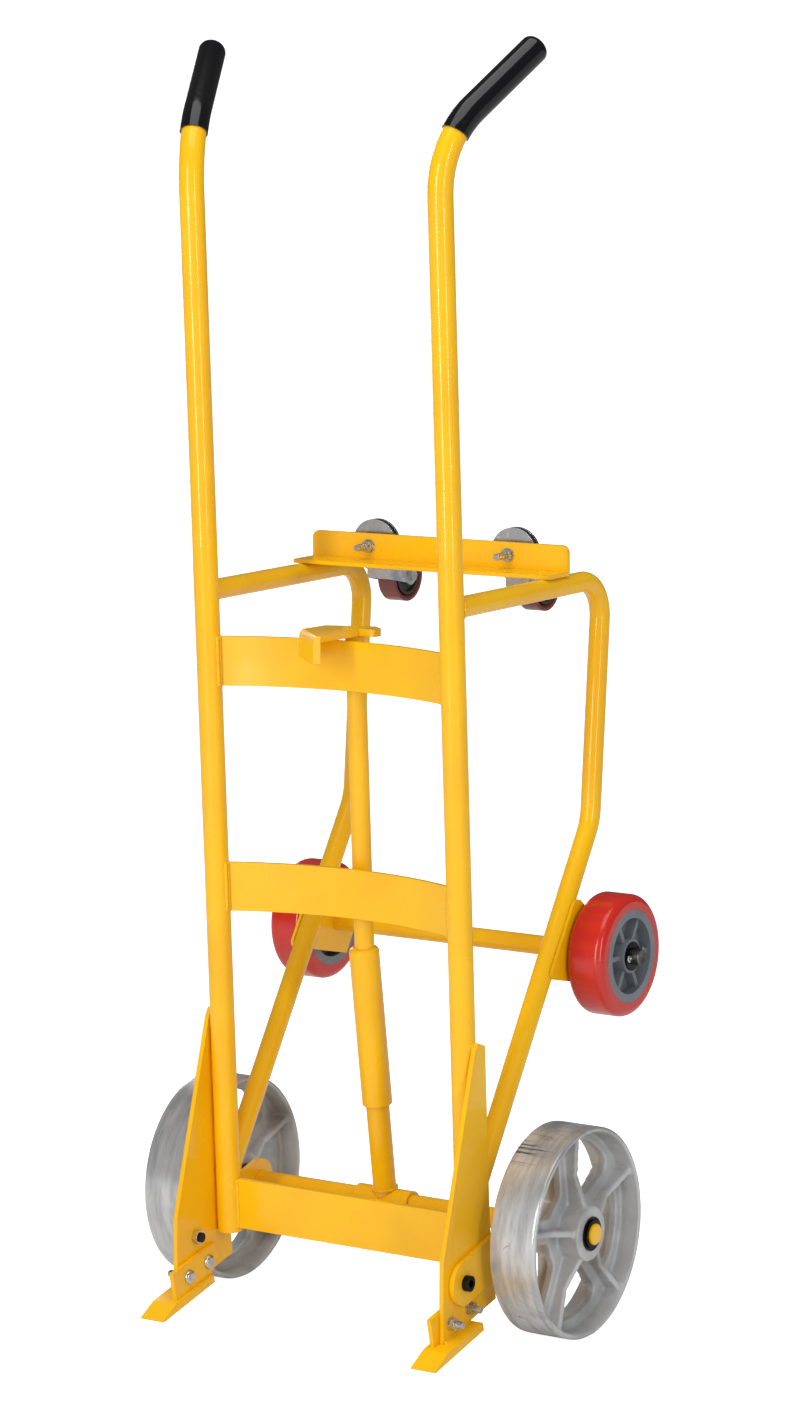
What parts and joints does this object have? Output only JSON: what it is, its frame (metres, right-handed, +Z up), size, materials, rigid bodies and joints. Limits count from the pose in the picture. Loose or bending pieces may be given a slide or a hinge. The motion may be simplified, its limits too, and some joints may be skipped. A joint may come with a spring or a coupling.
{
  "type": "hand truck",
  "caption": "Tall two-handled drum hand truck with cast main wheels, folding-down rear support wheels, chisel toes and a sliding chime hook.",
  "frame": {"origin": "on the floor under the middle of the main axle, with the truck standing on its main wheels and its toe tips", "axes": "+X to the right when looking along +Y at the load side, -Y towards the load and the toes, +Z up"},
  "size_m": [0.5814, 0.4657, 1.5293],
  "materials": {
    "frame_paint": "glossy yellow powder coat",
    "grip_vinyl": "glossy black dipped vinyl",
    "zinc": "bright zinc plate",
    "black_steel": "black oxide",
    "dark_steel": "plain rolled steel",
    "cast_metal": "cast, with machined treads",
    "bronze": "oiled sintered bronze",
    "hub_plastic": "moulded grey",
    "red_tread": "glossy red polyurethane",
    "caster_core": "moulded dark core",
    "brown_tread": "dark brown polyurethane"
  },
  "bodies": {
    "frame": {"upright_left": "frame_paint", "upright_right": "frame_paint", "grip_left": "grip_vinyl", "grip_right": "grip_vinyl", "upper_crossbar": "frame_paint", "middle_crossbar": "frame_paint", "lower_crossbar": "frame_paint", "gusset_left": "frame_paint", "gusset_right": "frame_paint", "toe_prong_left": "frame_paint", "toe_prong_right": "frame_paint", "toe_bolts": "zinc", "toe_washers": "zinc", "toe_nuts": "zinc", "axle_link_left": "frame_paint", "axle_link_right": "frame_paint", "link_bolts": "black_steel", "link_nuts": "zinc", "axle": "frame_paint", "main_spacers": "black_steel", "main_washers": "black_steel", "retaining_rings": "black_steel", "rear_tube_left": "frame_paint", "rear_tube_right": "frame_paint", "rear_axle_tube": "frame_paint", "rear_bracket_left": "frame_paint", "rear_bracket_right": "frame_paint", "rear_axle": "dark_steel", "rear_washers": "black_steel", "split_pins": "zinc", "caster_angle": "frame_paint", "caster_stem_left": "zinc", "caster_stem_right": "zinc", "caster_washers": "zinc", "caster_nuts": "zinc", "caster_balls": "zinc"},
    "main_wheel_left": {"main_wheel_left": "cast_metal", "main_bush_left": "bronze"},
    "main_wheel_right": {"main_wheel_right": "cast_metal", "main_bush_right": "bronze"},
    "rear_wheel_left": {"rear_hub_left": "hub_plastic", "rear_tread_left": "red_tread", "rear_bush_left": "black_steel"},
    "rear_wheel_right": {"rear_hub_right": "hub_plastic", "rear_tread_right": "red_tread", "rear_bush_right": "black_steel"},
    "caster_fork_left": {"caster_fork_left": "zinc", "caster_pin_left": "zinc"},
    "caster_fork_right": {"caster_fork_right": "zinc", "caster_pin_right": "zinc"},
    "caster_wheel_left": {"caster_hub_left": "caster_core", "caster_tread_left": "brown_tread"},
    "caster_wheel_right": {"caster_hub_right": "caster_core", "caster_tread_right": "brown_tread"},
    "post": {"post_collar": "frame_paint", "post_lower_tube": "frame_paint"},
    "sleeve": {"post_sleeve": "frame_paint"},
    "hook": {"post_upper_tube": "frame_paint", "chime_hook": "frame_paint"}
  },
  "joints": [
    {"name": "main_wheel_spin_left", "type": "hinge", "parent": "frame", "child": "main_wheel_left", "pos_m": [-0.249, 0, 0.127], "axis": [1, 0, 0], "continuous": true},
    {"name": "main_wheel_spin_right", "type": "hinge", "parent": "frame", "child": "main_wheel_right", "pos_m": [0.249, 0, 0.127], "axis": [1, 0, 0], "continuous": true},
    {"name": "rear_wheel_spin_left", "type": "hinge", "parent": "frame", "child": "rear_wheel_left", "pos_m": [-0.21675, 0.16106, 0.43193], "axis": [1, 0, 0], "continuous": true},
    {"name": "rear_wheel_spin_right", "type": "hinge", "parent": "frame", "child": "rear_wheel_right", "pos_m": [0.21675, 0.16106, 0.43193], "axis": [1, 0, 0], "continuous": true},
    {"name": "caster_swivel_left", "type": "hinge", "parent": "frame", "child": "caster_fork_left", "pos_m": [-0.1, 0.11712, 0.91774], "axis": [0, 0.9996, 0.0266], "range_deg": [-250, 40]},
    {"name": "caster_spin_left", "type": "hinge", "parent": "caster_fork_left", "child": "caster_wheel_left", "pos_m": [-0.1, 0.16823, 0.87658], "axis": [1, 0, 0], "continuous": true},
    {"name": "caster_swivel_right", "type": "hinge", "parent": "frame", "child": "caster_fork_right", "pos_m": [0.1, 0.11712, 0.91774], "axis": [0, 0.9996, 0.0266], "range_deg": [-40, 250]},
    {"name": "caster_spin_right", "type": "hinge", "parent": "caster_fork_right", "child": "caster_wheel_right", "pos_m": [0.1, 0.16823, 0.87658], "axis": [1, 0, 0], "continuous": true},
    {"name": "post_swing", "type": "hinge", "parent": "frame", "child": "post", "pos_m": [-0.007, 0, 0.127], "axis": [1, 0, 0], "range_deg": [-0.4, 0.2]},
    {"name": "sleeve_lift", "type": "slide", "parent": "post", "child": "sleeve", "axis": [0, -0.1616, 0.9869], "range_m": [0, 0.08]},
    {"name": "hook_turn", "type": "hinge", "parent": "sleeve", "child": "hook", "pos_m": [-0.007, -0.04935, 0.42444], "axis": [0, -0.0645, 0.9979], "range_deg": [-4, 50]}
  ]
}
